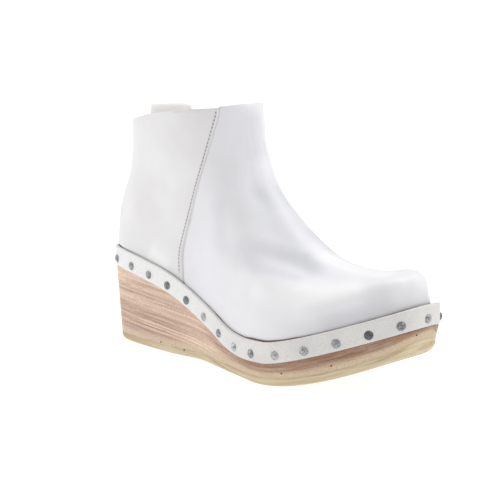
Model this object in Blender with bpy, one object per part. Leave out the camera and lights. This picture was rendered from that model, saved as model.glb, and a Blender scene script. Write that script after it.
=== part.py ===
"""Ankle boot on a wooden wedge, right foot, in metres.

X runs from heel to toe, Y to the inner side of the foot, Z up. The floor is
z = 0 and the origin is the middle of the flat heel rest.
"""
import math

import bmesh
import bpy
import numpy as np

MM = 0.001

# Main sizes
LENGTH = 256 * MM            # heel to toe tip, over the band
BALL_WIDTH = 97 * MM         # across the band at the ball
TOE_SWING = 13.5 * MM        # how far the toe tip leans to the inner side
HEEL_HEIGHT = 61 * MM        # floor to the middle of the band at the heel
BALL_HEIGHT = 22.2 * MM      # floor to the middle of the band at the ball
TOE_HEIGHT = 48 * MM         # floor to the middle of the band at the toe tip
TOE_SPRING = 27 * MM         # rise of the outsole from the ball to the toe tip
TOE_LIFT = 3 * MM            # and the extra rise that rounds off the tip
HEEL_LIFT = 5 * MM           # rise that rounds off the back of the heel
INSTEP_HEIGHT = 102 * MM     # floor to the ridge over the instep
COLLAR_BACK = 156 * MM       # floor to the collar at the back
COLLAR_FRONT = 172 * MM      # floor to the collar at the front
COLLAR_LENGTH = 106 * MM
COLLAR_WIDTH = 62 * MM
HEEL_REST = 0.15             # middle of the heel rest, share of the length

# Thicknesses and gaps
WALL = 2.0 * MM              # leather of the front panel
LAP = 0.9 * MM               # back panel lapped over the front panel
NOTCH = 1.0 * MM             # back panel's top edge below the front panel's
BAND_HIGH = 13.5 * MM
BAND_THICK = 2.4 * MM
INSOLE_THICK = 3.0 * MM
INSOLE_PLAY = 1.2 * MM       # between the insole's edge and the lining
OUTSOLE_THICK = 5.5 * MM
SOLE_ROUND = 2.0 * MM        # rounding of the outsole's lower edge
LEDGE = 0.6 * MM             # wood under the band, set in from the band's face
HEEL_RAKE = 2.6 * MM         # how far the wood slopes in at the foot of the heel
SIDE_RAKE = 1.8 * MM         # and along the sides
TOE_SHELF = 1.7 * MM         # how much further the upper stands back at the toe
GAP = 0.3 * MM               # between pieces that touch
UPPER_INSET = BAND_THICK + GAP + LAP

# Nails
NAIL_COUNT = 30
NAIL_HEAD = 5.8 * MM
NAIL_DOME = 1.5 * MM
NAIL_SHANK = 2.0 * MM
NAIL_LONG = 6.0 * MM
NAIL_DROP = 1.8 * MM         # nail centre below the middle of the band
NAIL_START = 0.24            # first nail, in nail spacings from the heel

# Pull tab
TAB_WIDE = 31 * MM
TAB_START = 4 * MM           # from the middle of the back to the tab
TAB_RISE_BACK = 11 * MM      # above the collar at the tab's back end
TAB_RISE_FRONT = 7 * MM      # and at its front end
TAB_DROP = 16 * MM           # below the collar, inside
TAB_THICK = 2.2 * MM

STATIONS = 40                # steps from heel to toe

# Edge of the band seen from above: share of length, share of ball width.
OUTER_EDGE = {
    "along": (0.0, 0.004, 0.02, 0.07, 0.15, 0.26, 0.40, 0.54, 0.66, 0.77, 0.87, 0.95, 0.988),
    "across": (0.0, -0.105, -0.202, -0.255, -0.293, -0.324, -0.353, -0.455, -0.541, -0.511,
               -0.363, -0.176, -0.05),
}
INNER_EDGE = {
    "along": (0.0, 0.004, 0.02, 0.07, 0.15, 0.26, 0.40, 0.54, 0.66, 0.76, 0.86, 0.94, 0.985),
    "across": (0.0, 0.105, 0.202, 0.255, 0.285, 0.293, 0.280, 0.345, 0.435, 0.461, 0.44,
               0.37, 0.28),
}

# Middle of the band seen from the side: share of length, and the height as a
# share of the drop from heel to ball.
BAND_LINE = {
    "along": (0.0, 0.14, 0.28, 0.42, 0.55, 0.68),
    "high": (1.0, 0.886, 0.692, 0.305, 0.010, 0.0),
}

# Rings of the upper, from the edge of the wood to the collar.
#   back_x             share of the length, from the heel
#   front_x            0 is the front of the collar, 1 is the toe
#   back_z             0 is the edge of the wood, 1 is the collar
#   front_z            0 is the edge of the wood, 1 is the instep, 2 is the collar
#   follow             how far the ring keeps the sweep of the band line
#   oval               0 is the outline of the foot, 1 is the oval of the collar
#   outer, inner       half width as a share of the outline or oval
#   seam               side seam, share of the ring
RINGS = {
    "up":      (0.00, 0.10, 0.22, 0.34, 0.46, 0.58, 0.70, 0.80, 0.90, 1.00),
    "back_x":  (0.000, 0.000, -0.006, -0.003, 0.010, 0.025, 0.034, 0.036, 0.037, 0.039),
    "back_z":  (0.00, 0.10, 0.22, 0.35, 0.47, 0.59, 0.71, 0.81, 0.90, 1.00),
    "front_x": (1.000, 0.996, 0.972, 0.869, 0.700, 0.504, 0.297, 0.148, 0.054, 0.000),
    "front_z": (0.000, 0.164, 0.411, 0.458, 0.487, 0.601, 0.981, 1.306, 1.641, 2.000),
    "follow":  (1.00, 1.00, 0.85, 0.60, 0.50, 0.40, 0.25, 0.10, 0.03, 0.00),
    "oval":    (0.00, 0.00, 0.02, 0.08, 0.18, 0.35, 0.60, 0.80, 0.95, 1.00),
    "outer":   (1.00, 0.99, 0.99, 0.96, 0.93, 0.92, 0.93, 0.94, 0.97, 1.00),
    "inner":   (1.00, 0.99, 0.99, 0.96, 0.93, 0.92, 0.93, 0.94, 0.97, 1.00),
    "seam":    (0.320, 0.317, 0.322, 0.350, 0.390, 0.449, 0.557, 0.682, 0.796, 0.882),
}
RING_STEPS = 18
BACK_STEPS = 12              # columns from the back to the side seam
FRONT_STEPS = 20             # columns from the side seam to the front

COLOURS = {
    "leather": (0.80, 0.80, 0.82, 1.0),
    "band_leather": (0.78, 0.77, 0.74, 1.0),
    "wood": (0.62, 0.40, 0.28, 1.0),
    "sole": (0.76, 0.66, 0.48, 1.0),
    "lining": (0.60, 0.48, 0.36, 1.0),
    "nail": (0.45, 0.45, 0.46, 1.0),
}


def smooth(xs, ys, x):
    """Height at x of the smooth curve through the points xs, ys."""
    xs, ys = np.asarray(xs, float), np.asarray(ys, float)
    slope = np.diff(ys) / np.diff(xs)
    tangent = np.empty(len(xs))
    tangent[0], tangent[-1] = slope[0], slope[-1]
    left, right = np.diff(xs)[:-1], np.diff(xs)[1:]
    tangent[1:-1] = (slope[:-1] * right + slope[1:] * left) / (left + right)
    x = np.clip(x, xs[0], xs[-1])
    i = np.clip(np.searchsorted(xs, x, side="right") - 1, 0, len(xs) - 2)
    h = xs[i + 1] - xs[i]
    t = (x - xs[i]) / h
    return ((1 + 2 * t) * (1 - t) ** 2 * ys[i] + t * (1 - t) ** 2 * h * tangent[i]
            + t * t * (3 - 2 * t) * ys[i + 1] + t * t * (t - 1) * h * tangent[i + 1])


def band_height(x):
    """Height of the middle of the band at x, measured from the heel."""
    share = np.asarray(x) / LENGTH
    high = smooth(BAND_LINE["along"], BAND_LINE["high"], share)
    rise = np.clip((share - BAND_LINE["along"][-1]) / (1 - BAND_LINE["along"][-1]), 0, None)
    return (BALL_HEIGHT + high * (HEEL_HEIGHT - BALL_HEIGHT)
            + rise ** 1.3 * (TOE_HEIGHT - BALL_HEIGHT))


def floor_height(x):
    """Height of the underside of the outsole at x."""
    share = np.asarray(x) / LENGTH
    toe = (TOE_SPRING * np.clip((share - 0.63) / 0.37, 0, None) ** 2
           + TOE_LIFT * np.clip((share - 0.93) / 0.07, 0, None) ** 2)
    waist = 0.8 * MM * np.sin(np.pi * np.clip((share - 0.28) / 0.20, 0, 1)) ** 2
    heel = HEEL_LIFT * np.clip(1 - share / 0.05, 0, None) ** 2
    return toe + waist + heel


def outline():
    """The band's edge as one dense closed curve, outer side first."""
    xs = list(OUTER_EDGE["along"]) + [1.0] + list(INNER_EDGE["along"])[:0:-1]
    ys = list(OUTER_EDGE["across"]) + [0.0] + list(INNER_EDGE["across"])[:0:-1]
    xs = np.array(xs) * LENGTH
    ys = np.array(ys) * BALL_WIDTH
    ys[len(OUTER_EDGE["along"])] = TOE_SWING
    xs, ys = np.tile(xs, 3), np.tile(ys, 3)
    chord = np.concatenate([[0], np.cumsum(np.hypot(np.diff(xs), np.diff(ys)) ** 0.5)])
    count = len(xs) // 3
    t = np.linspace(chord[count], chord[2 * count], 1601)
    return smooth(chord, xs, t), smooth(chord, ys, t)


def edge_sides(inset, shelf=0.0):
    """Both halves of the outline, moved inwards by inset, and by shelf at the toe."""
    x, y = outline()
    inset = inset + shelf * np.clip(x / LENGTH, 0, 1) ** 6
    dx, dy = np.gradient(x), np.gradient(y)
    dx[0] = dx[-1] = x[1] - x[-2]
    dy[0] = dy[-1] = y[1] - y[-2]
    size = np.hypot(dx, dy)
    x, y = x - inset * dy / size, y + inset * dx / size
    back, front = x[:200].argmin(), x.argmax()
    outer = (x[back:front + 1], y[back:front + 1])
    inner = (np.append(x[front:], x[1:back + 1])[::-1], np.append(y[front:], y[1:back + 1])[::-1])
    return outer, inner


def edge_rows(inset, shelf=0.0, steps=STATIONS):
    """Matching points on both sides, heel to toe: x, outer y, inner y."""
    outer, inner = edge_sides(inset, shelf)
    share = 0.5 - 0.5 * np.cos(np.pi * np.linspace(0, 1, steps + 1))
    x = outer[0][0] + share * (outer[0][-1] - outer[0][0])
    y_outer = np.interp(x, outer[0], outer[1])
    y_inner = np.interp(x, inner[0], inner[1])
    y_outer[0] = y_inner[0] = outer[1][0]
    y_outer[-1] = y_inner[-1] = outer[1][-1]
    return x, y_outer, y_inner


def make_object(name, verts, faces, slot):
    """One object from points measured from the heel, placed on the origin."""
    mesh = bpy.data.meshes.new(name)
    shift = HEEL_REST * LENGTH
    mesh.from_pydata([(p[0] - shift, p[1], p[2]) for p in verts], [], faces)
    bm = bmesh.new()
    bm.from_mesh(mesh)
    bmesh.ops.recalc_face_normals(bm, faces=bm.faces)
    bm.to_mesh(mesh)
    bm.free()
    mesh.materials.append(material(slot))
    thing = bpy.data.objects.new(name, mesh)
    bpy.context.scene.collection.objects.link(thing)
    return thing


def material(slot):
    """The named material, made on first use."""
    found = bpy.data.materials.get(slot)
    if found is None:
        found = bpy.data.materials.new(slot)
        found.diffuse_color = COLOURS[slot]
    return found


def loop_of(x, y_outer, y_inner, z):
    """A closed ring of points: heel, outer side, toe, inner side."""
    ring = [(x[k], y_outer[k], z[k]) for k in range(len(x))]
    return ring + [(x[k], y_inner[k], z[k]) for k in range(len(x) - 2, 0, -1)]


def bridge(first, second, count):
    """Quads between two closed rings of points."""
    return [(first + k, first + (k + 1) % count, second + (k + 1) % count, second + k)
            for k in range(count)]


def ladder(start, steps):
    """Faces across a ring from loop_of, side to side."""
    count = 2 * steps
    faces = [(start, start + 1, start + count - 1)]
    for k in range(1, steps - 1):
        faces.append((start + k, start + k + 1, start + count - k - 1, start + count - k))
    faces.append((start + steps - 1, start + steps, start + steps + 1))
    return faces


def slab(name, rings, slot):
    """A solid through a stack of rings, closed below and above."""
    verts, faces = [], []
    count = len(rings[0])
    for ring in rings:
        verts.extend(ring)
    for k in range(len(rings) - 1):
        faces.extend(bridge(k * count, (k + 1) * count, count))
    faces.extend(ladder(0, count // 2))
    faces.extend(ladder((len(rings) - 1) * count, count // 2))
    return make_object(name, verts, faces, slot)


def sole_top(x):
    return floor_height(x) + OUTSOLE_THICK


def wood_ring(height, drop, extra=0.0):
    """The wood's side where height(x) says, raked in by drop, 0 at the top to 1."""
    full = edge_rows(LEDGE + extra)
    raked = edge_rows(LEDGE + extra + SIDE_RAKE)
    fade = drop * (1 - 0.6 * (full[0] / LENGTH) ** 3)
    x, outer, inner = (a + fade * (b - a) for a, b in zip(full, raked))
    x = x + drop * HEEL_RAKE * np.clip(1 - x / (0.12 * LENGTH), 0, 1)
    return loop_of(x, outer, inner, height(x))


def make_wedge():
    """Raked sides below the band, a ledge under it and a narrower top."""
    def low(x):
        return sole_top(x) + GAP

    def ledge(x):
        return band_height(x) - BAND_HIGH / 2 - GAP

    x, outer, inner = edge_rows(BAND_THICK + GAP)
    rings = [wood_ring(low, 1.0), wood_ring(lambda x: (low(x) + ledge(x)) / 2, 0.5),
             wood_ring(ledge, 0.0), loop_of(x, outer, inner, ledge(x)),
             loop_of(x, outer, inner, band_height(x))]
    return slab("wedge", rings, "wood")


def make_outsole():
    """Running sole with a rounded lower edge, flush with the wood."""
    rings = []
    for extra, rise in ((SOLE_ROUND, 0.0), (0.45 * SOLE_ROUND, 0.18), (0.0, 0.45), (0.0, 1.0)):
        rings.append(wood_ring(lambda x: floor_height(x) + rise * OUTSOLE_THICK, 1.0, extra))
    return slab("outsole", rings, "sole")


def make_insole():
    inset = UPPER_INSET + WALL + INSOLE_PLAY
    rings = []
    for extra, rise in ((0.0, 0.0), (0.0, 0.75), (0.25 * INSOLE_THICK, 1.0)):
        x, outer, inner = edge_rows(inset + extra, TOE_SHELF)
        rings.append(loop_of(x, outer, inner, band_height(x) + GAP + rise * INSOLE_THICK))
    return slab("insole", rings, "lining")


def make_band():
    """The strip's section carried round the outline as a closed tube."""
    section = ((0.0, -0.5), (0.0, 0.44), (0.25, 0.5), (1.0, 0.5), (1.0, -0.5))
    verts, faces = [], []
    for depth, high in section:
        x, outer, inner = edge_rows(depth * BAND_THICK)
        verts.extend(loop_of(x, outer, inner, band_height(x) + high * BAND_HIGH))
    count = 2 * STATIONS
    for k in range(len(section)):
        faces.extend(bridge(k * count, (k + 1) % len(section) * count, count))
    return make_object("band", verts, faces, "band_leather")


def nail_places():
    """Centre on the band's outer face, and the way out, for each nail."""
    outer, inner = edge_sides(0.0)
    x = np.append(outer[0], inner[0][::-1])
    y = np.append(outer[1], inner[1][::-1])
    z = band_height(x)
    path = np.concatenate([[0], np.cumsum(np.sqrt(np.diff(x) ** 2 + np.diff(y) ** 2
                                                  + np.diff(z) ** 2))])
    places = []
    for k in range(NAIL_COUNT):
        at = (k + NAIL_START) / NAIL_COUNT * path[-1]
        px, py = np.interp([at, at + MM], path, x), np.interp([at, at + MM], path, y)
        size = math.hypot(px[1] - px[0], py[1] - py[0])
        out = ((py[1] - py[0]) / size, -(px[1] - px[0]) / size, 0.0)
        places.append(((px[0], py[0], float(band_height(px[0])) - NAIL_DROP), out))
    return places


def lathe(centre, out, profile, sides):
    """Points and faces of a turned shape: profile rows of (radius, height)."""
    out = np.array(out)
    up = np.array((0.0, 0.0, 1.0))
    side = np.cross(up, out)
    centre = np.array(centre)
    verts, faces = [], []
    for radius, high in profile:
        for k in range(sides):
            a = 2 * math.pi * k / sides
            verts.append(tuple(centre + out * high
                               + radius * (math.cos(a) * side + math.sin(a) * up)))
    for k in range(len(profile) - 1):
        faces.extend(bridge(k * sides, (k + 1) * sides, sides))
    faces.append(tuple(range(sides)))
    faces.append(tuple(range((len(profile) - 1) * sides, len(profile) * sides)))
    return verts, faces


def make_nails(band, wedge):
    head, shank = NAIL_HEAD / 2, NAIL_SHANK / 2
    profile = ((shank, 2 * GAP - NAIL_LONG), (shank, GAP), (head, GAP),
               (0.86 * head, GAP + 0.55 * NAIL_DOME), (0.42 * head, GAP + NAIL_DOME))
    hole = ((shank + GAP, -NAIL_LONG), (shank + GAP, 2 * MM))
    drill_verts, drill_faces = [], []
    for k, (centre, out) in enumerate(nail_places()):
        verts, faces = lathe(centre, out, profile, 8)
        make_object("nail_%02d" % (k + 1), verts, faces, "nail")
        verts, faces = lathe(centre, out, hole, 6)
        start = len(drill_verts)
        drill_verts.extend(verts)
        drill_faces.extend(tuple(start + i for i in face) for face in faces)
    drill = make_object("drill", drill_verts, drill_faces, "nail")
    drill.hide_render = True
    drill.hide_set(True)
    for thing in (band, wedge):
        cut = thing.modifiers.new("nail holes", "BOOLEAN")
        cut.operation = "DIFFERENCE"
        cut.solver = "EXACT"
        cut.object = drill


def ring_row(up):
    """The ring table's columns at height share up."""
    return {key: float(smooth(RINGS["up"], RINGS[key], up)) for key in RINGS if key != "up"}


def ring_point(side, up, share):
    """Point of the upper's outer face: side -1 outer or 1 inner."""
    row = ring_row(up)
    inset = UPPER_INSET
    x0 = inset + row["back_x"] * LENGTH
    collar_front = inset + RINGS["back_x"][-1] * LENGTH + COLLAR_LENGTH
    x1 = collar_front + row["front_x"] * (LENGTH - inset - TOE_SHELF - collar_front)
    share = np.asarray(share, float)
    x = x0 + share * (x1 - x0)

    # Plan shape between the outline of the foot and the oval of the collar
    outer, inner = BASE_EDGE
    edge = outer if side < 0 else inner
    from_x = edge[0][0] + share * (edge[0][-1] - edge[0][0])
    real_x = np.clip(x, edge[0][0], edge[0][-1])
    swing = edge[1][-1]
    middle = swing * share ** 3 * (x1 / LENGTH) ** 3
    foot = np.abs(np.interp(from_x, edge[0], edge[1]) - swing * share ** 3)
    wide = np.abs(np.interp(real_x, edge[0], edge[1]) - swing * (real_x / LENGTH) ** 3)
    round_off = 2 * np.sqrt(np.clip(share * (1 - share), 0, None))
    foot = np.minimum(foot, wide + (1 - round_off) * foot)
    oval = COLLAR_WIDTH / 2 * round_off
    half = (1 - row["oval"]) * foot + row["oval"] * oval
    half = half * row["outer" if side < 0 else "inner"]
    y = middle + side * half

    # Height between the sweep of the band line and a straight tilt
    z0 = HEEL_HEIGHT + GAP + row["back_z"] * (COLLAR_BACK - HEEL_HEIGHT - GAP)
    z1 = (TOE_HEIGHT + GAP + min(row["front_z"], 1) * (INSTEP_HEIGHT - TOE_HEIGHT - GAP)
          + max(row["front_z"] - 1, 0) * (COLLAR_FRONT - INSTEP_HEIGHT))
    line = z0 + share * (z1 - z0)
    sweep = band_height(real_x)
    chord = sweep[0] + share * (sweep[-1] - sweep[0])
    z = line + row["follow"] * (sweep - chord)
    return np.stack([x, y, z], axis=-1)


def ring_columns(side, up):
    """Points of one side of a ring, evenly spaced either side of the seam."""
    fine = 0.5 - 0.5 * np.cos(np.pi * np.linspace(0, 1, 241))
    points = ring_point(side, up, fine)
    path = np.concatenate([[0], np.cumsum(np.linalg.norm(np.diff(points, axis=0), axis=1))])
    seam = np.interp(ring_row(up)["seam"], fine, path)
    wanted = np.concatenate([np.linspace(0, seam, BACK_STEPS + 1),
                             [seam + 0.15 * MM],
                             np.linspace(seam, path[-1], FRONT_STEPS + 1)[1:]])
    return np.stack([np.interp(wanted, path, points[:, k]) for k in range(3)], axis=-1)


def make_upper():
    """One hollow solid: outer face, collar rim, lining and lower rim."""
    ups = np.linspace(0, 1, RING_STEPS + 1)
    side_count = BACK_STEPS + FRONT_STEPS + 2
    grid = []
    for up in ups:
        outer = ring_columns(-1, up)
        inner = ring_columns(1, up)
        grid.append(np.concatenate([outer, inner[-2:0:-1]]))
    grid = np.array(grid)
    count = grid.shape[1]
    along = np.roll(grid, -1, axis=1) - np.roll(grid, 1, axis=1)
    upward = np.gradient(grid, axis=0)
    normal = np.cross(along, upward)
    normal /= np.linalg.norm(normal, axis=2, keepdims=True)
    normal[0, :, 2] = 0
    normal /= np.linalg.norm(normal, axis=2, keepdims=True)

    back = np.zeros(count, bool)
    back[:BACK_STEPS + 1] = True
    back[count - BACK_STEPS:] = True
    grid[:, :, 2] -= np.where(back, NOTCH, 0.0)[None, :] * np.clip(10 * ups - 9, 0, 1)[:, None]
    outside = grid + normal * np.where(back, LAP, 0.0)[None, :, None]
    inside = grid - normal * WALL
    verts = [tuple(p) for p in outside.reshape(-1, 3)] + [tuple(p) for p in inside.reshape(-1, 3)]
    faces = []
    offset = grid.shape[0] * count
    for k in range(RING_STEPS):
        faces.extend(bridge(k * count, (k + 1) * count, count))
        faces.extend(bridge(offset + k * count, offset + (k + 1) * count, count))
    faces.extend(bridge(0, offset, count))
    faces.extend(bridge(RING_STEPS * count, offset + RING_STEPS * count, count))
    return make_object("upper", verts, faces, "leather"), inside


def make_tab(inside):
    """Strip against the lining at the back of the collar, standing above it."""
    top = inside[-1]
    below = inside[-4]
    count = len(top)
    ring = np.concatenate([top[count - BACK_STEPS:], top[:1]])[::-1]
    low = np.concatenate([below[count - BACK_STEPS:], below[:1]])[::-1]
    path = np.concatenate([[0], np.cumsum(np.linalg.norm(np.diff(ring, axis=0), axis=1))])
    steps = 8
    verts, faces = [], []
    rows = (0.0, 0.0, 0.85, 1.0)
    for row, share in enumerate(rows):
        for k in range(steps + 1):
            rise = share * (TAB_RISE_BACK + (TAB_RISE_FRONT - TAB_RISE_BACK) * k / steps)
            rise -= TAB_DROP if row == 0 else 0.0
            at = TAB_START + TAB_WIDE * k / steps
            high = np.array([np.interp(at, path, ring[:, i]) for i in range(3)])
            deep = np.array([np.interp(at, path, low[:, i]) for i in range(3)])
            ahead = np.array([np.interp(at + MM, path, ring[:, i]) for i in range(3)])
            way = (high - deep) / np.linalg.norm(high - deep)
            inward = np.cross(ahead - high, way)
            inward[2] = 0
            inward /= np.linalg.norm(inward)
            if inward[1] > 0:
                inward = -inward
            thick = TAB_THICK * (0.55 if row == len(rows) - 1 else 1.0)
            near = GAP + (TAB_THICK - thick) / 2
            spot = high + way * rise
            verts.append(tuple(spot + inward * near))
            verts.append(tuple(spot + inward * (near + thick)))
    wide = 2 * (steps + 1)
    for row in range(len(rows) - 1):
        for k in range(steps):
            for face in (0, 1):
                a = row * wide + 2 * k + face
                faces.append((a, a + 2, a + 2 + wide, a + wide))
        for k in (0, steps):
            a = row * wide + 2 * k
            faces.append((a, a + 1, a + 1 + wide, a + wide))
    for row in (0, len(rows) - 1):
        for k in range(steps):
            a = row * wide + 2 * k
            faces.append((a, a + 1, a + 3, a + 2))
    return make_object("pull_tab", verts, faces, "leather")


def clear_scene():
    for thing in list(bpy.data.objects):
        bpy.data.objects.remove(thing, do_unlink=True)


BASE_EDGE = edge_sides(UPPER_INSET, TOE_SHELF)
clear_scene()
make_outsole()
wedge = make_wedge()
band = make_band()
make_insole()
upper, lining = make_upper()
make_tab(lining)
make_nails(band, wedge)
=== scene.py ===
# %% [markdown]
# Ankle boot on a wooden wedge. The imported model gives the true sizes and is
# loaded as a fixed frame. This lesson dresses it: smooth leather with its
# folds and side seams, a leather band held by domed nails, oiled wood with
# long grain, and a thin pale running sole. Everything is in metres, with the
# toe along +X and the inner side of the foot along +Y.

# %% Load the frame
import math
import random

import bmesh
import bpy
import numpy as np
from mathutils import Matrix, Vector
from mathutils.bvhtree import BVHTree


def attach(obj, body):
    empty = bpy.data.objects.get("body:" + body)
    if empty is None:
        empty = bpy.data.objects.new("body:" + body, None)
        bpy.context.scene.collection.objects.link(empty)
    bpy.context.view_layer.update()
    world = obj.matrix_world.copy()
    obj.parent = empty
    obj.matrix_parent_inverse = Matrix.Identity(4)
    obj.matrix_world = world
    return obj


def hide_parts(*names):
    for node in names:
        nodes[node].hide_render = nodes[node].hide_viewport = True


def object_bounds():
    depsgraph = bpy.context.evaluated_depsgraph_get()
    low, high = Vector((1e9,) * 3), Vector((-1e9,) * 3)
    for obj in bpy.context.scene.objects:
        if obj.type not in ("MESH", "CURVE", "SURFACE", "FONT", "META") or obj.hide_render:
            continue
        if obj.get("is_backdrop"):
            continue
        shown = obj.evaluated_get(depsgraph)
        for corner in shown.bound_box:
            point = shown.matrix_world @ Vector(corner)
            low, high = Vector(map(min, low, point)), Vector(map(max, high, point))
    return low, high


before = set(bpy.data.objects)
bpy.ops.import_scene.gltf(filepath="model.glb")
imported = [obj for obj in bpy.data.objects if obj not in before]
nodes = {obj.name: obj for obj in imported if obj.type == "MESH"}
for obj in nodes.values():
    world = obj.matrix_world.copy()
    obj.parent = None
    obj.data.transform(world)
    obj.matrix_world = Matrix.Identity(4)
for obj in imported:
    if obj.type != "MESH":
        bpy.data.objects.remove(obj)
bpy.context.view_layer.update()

# %% [markdown]
# The camera comes first, so that every later choice is seen from the right
# place. It stands to the outer side of the toe, a little above the boot. A
# long lens a metre away gives the gentle perspective of a catalogue picture.

# %% Camera
AZIMUTH, ELEVATION = math.radians(42.62), math.radians(9.81)
TARGET = Vector((0.0778, 0.0, 0.0738))
DISTANCE = 0.9993
SENSOR_MM, LENS_MM, SEES_AS_FAR = 36, 107.85, 200

camera = bpy.data.objects.new("camera", bpy.data.cameras.new("camera"))
bpy.context.scene.collection.objects.link(camera)
back = Vector((math.sin(AZIMUTH) * math.cos(ELEVATION),
               -math.cos(AZIMUTH) * math.cos(ELEVATION), math.sin(ELEVATION)))
camera.location = TARGET + back * DISTANCE
camera.rotation_mode = "QUATERNION"
camera.rotation_quaternion = (-back).to_track_quat("-Z", "Y")
camera.data.sensor_width, camera.data.lens = SENSOR_MM, LENS_MM
camera.data.clip_end = SEES_AS_FAR
bpy.context.scene.camera = camera
print("camera", [round(v, 3) for v in camera.location])

# %% [markdown]
# A boot is built on a last, and all its pieces share the last's lines. These
# are the same named sizes and short tables that the solids came from: the
# edge of the sole seen from above, and the sweep of the band seen from the
# side. Pieces made from them fit together without measuring.

# %% Sizes of the last
MM = 0.001
LENGTH = 256 * MM
BALL_WIDTH = 97 * MM
TOE_SWING = 13.5 * MM
HEEL_HEIGHT = 61 * MM
BALL_HEIGHT = 22.2 * MM
TOE_HEIGHT = 48 * MM
TOE_SPRING = 27 * MM
TOE_LIFT = 3 * MM
HEEL_LIFT = 5 * MM
HEEL_X = 0.15 * LENGTH
BAND_HIGH = 13.5 * MM
BAND_THICK = 2.4 * MM
OUTSOLE_THICK = 5.5 * MM
LEDGE, SIDE_RAKE, HEEL_RAKE = 0.6 * MM, 1.8 * MM, 2.6 * MM
GAP, HAIR = 0.3 * MM, 0.05 * MM
OUTLINE_STEPS = 1600

OUTER_EDGE = {
    "along": (0.0, 0.004, 0.02, 0.07, 0.15, 0.26, 0.40, 0.54, 0.66, 0.77, 0.87, 0.95, 0.988),
    "across": (0.0, -0.105, -0.202, -0.255, -0.293, -0.324, -0.353, -0.455, -0.541, -0.511,
               -0.363, -0.176, -0.05),
}
INNER_EDGE = {
    "along": (0.0, 0.004, 0.02, 0.07, 0.15, 0.26, 0.40, 0.54, 0.66, 0.76, 0.86, 0.94, 0.985),
    "across": (0.0, 0.105, 0.202, 0.255, 0.285, 0.293, 0.280, 0.345, 0.435, 0.461, 0.44,
               0.37, 0.28),
}
BAND_LINE = {
    "along": (0.0, 0.14, 0.28, 0.42, 0.55, 0.68),
    "high": (1.0, 0.886, 0.692, 0.305, 0.010, 0.0),
}
print("length and ball width", LENGTH, BALL_WIDTH)

# %% [markdown]
# Two lines are seen from the side: the middle of the band, and the floor line
# under the outsole, which springs up at the toe.

# %% Lines from the side


def smooth(xs, ys, x):
    """Height at x of the smooth curve through the points xs, ys."""
    xs, ys = np.asarray(xs, float), np.asarray(ys, float)
    slope = np.diff(ys) / np.diff(xs)
    tangent = np.empty(len(xs))
    tangent[0], tangent[-1] = slope[0], slope[-1]
    left, right = np.diff(xs)[:-1], np.diff(xs)[1:]
    tangent[1:-1] = (slope[:-1] * right + slope[1:] * left) / (left + right)
    x = np.clip(x, xs[0], xs[-1])
    i = np.clip(np.searchsorted(xs, x, side="right") - 1, 0, len(xs) - 2)
    h = xs[i + 1] - xs[i]
    t = (x - xs[i]) / h
    return ((1 + 2 * t) * (1 - t) ** 2 * ys[i] + t * (1 - t) ** 2 * h * tangent[i]
            + t * t * (3 - 2 * t) * ys[i + 1] + t * t * (t - 1) * h * tangent[i + 1])


def band_height(x):
    """Height of the middle of the band, x measured from the heel."""
    share = np.asarray(x) / LENGTH
    high = smooth(BAND_LINE["along"], BAND_LINE["high"], share)
    rise = np.clip((share - BAND_LINE["along"][-1]) / (1 - BAND_LINE["along"][-1]), 0, None)
    return (BALL_HEIGHT + high * (HEEL_HEIGHT - BALL_HEIGHT)
            + rise ** 1.3 * (TOE_HEIGHT - BALL_HEIGHT))


def floor_height(x):
    """Height of the underside of the outsole, x measured from the heel."""
    share = np.asarray(x) / LENGTH
    toe = (TOE_SPRING * np.clip((share - 0.63) / 0.37, 0, None) ** 2
           + TOE_LIFT * np.clip((share - 0.93) / 0.07, 0, None) ** 2)
    waist = 0.8 * MM * np.sin(np.pi * np.clip((share - 0.28) / 0.20, 0, 1)) ** 2
    heel = HEEL_LIFT * np.clip(1 - share / 0.05, 0, None) ** 2
    return toe + waist + heel


print("band at the heel and the toe", *(round(float(band_height(x)), 4) for x in (0, LENGTH)))

# %% [markdown]
# The edge is seen from above. Pieces under or inside the band have the same
# edge moved inwards, and plates need it as pairs of an outer and an inner y.

# %% Outline of the sole


def outline():
    """The band's edge as one dense closed curve, outer side first."""
    xs = list(OUTER_EDGE["along"]) + [1.0] + list(INNER_EDGE["along"])[:0:-1]
    ys = list(OUTER_EDGE["across"]) + [0.0] + list(INNER_EDGE["across"])[:0:-1]
    xs, ys = np.array(xs) * LENGTH, np.array(ys) * BALL_WIDTH
    ys[len(OUTER_EDGE["along"])] = TOE_SWING
    xs, ys = np.tile(xs, 3), np.tile(ys, 3)
    chord = np.concatenate([[0], np.cumsum(np.hypot(np.diff(xs), np.diff(ys)) ** 0.5)])
    count = len(xs) // 3
    t = np.linspace(chord[count], chord[2 * count], OUTLINE_STEPS + 1)
    return smooth(chord, xs, t), smooth(chord, ys, t)


def inset_outline(inset):
    """The dense outline moved inwards."""
    x, y = outline()
    dx, dy = np.gradient(x), np.gradient(y)
    dx[0] = dx[-1] = x[1] - x[-2]
    dy[0] = dy[-1] = y[1] - y[-2]
    size = np.hypot(dx, dy)
    return x - inset * dy / size, y + inset * dx / size


def edge_rows(inset, share):
    """x, outer y and inner y of the outline at shares from heel to toe."""
    x, y = inset_outline(inset)
    start, tip = x[:OUTLINE_STEPS // 8].argmin(), x.argmax()
    outer = (x[start:tip + 1], y[start:tip + 1])
    inner = (np.append(x[tip:], x[1:start + 1])[::-1], np.append(y[tip:], y[1:start + 1])[::-1])
    at = outer[0][0] + share * (outer[0][-1] - outer[0][0])
    return at, np.interp(at, *outer), np.interp(at, *inner)


edge_x, edge_y = outline()
print("outline", round(np.ptp(edge_x), 4), "by", round(np.ptp(edge_y), 4))

# %% [markdown]
# Small helpers keep the later cells short. Operators act on whatever is
# selected, so each step says first what it selects. A finished piece keeps
# its place in its mesh, and its object stays at the origin.

# %% Helpers for pieces


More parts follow.
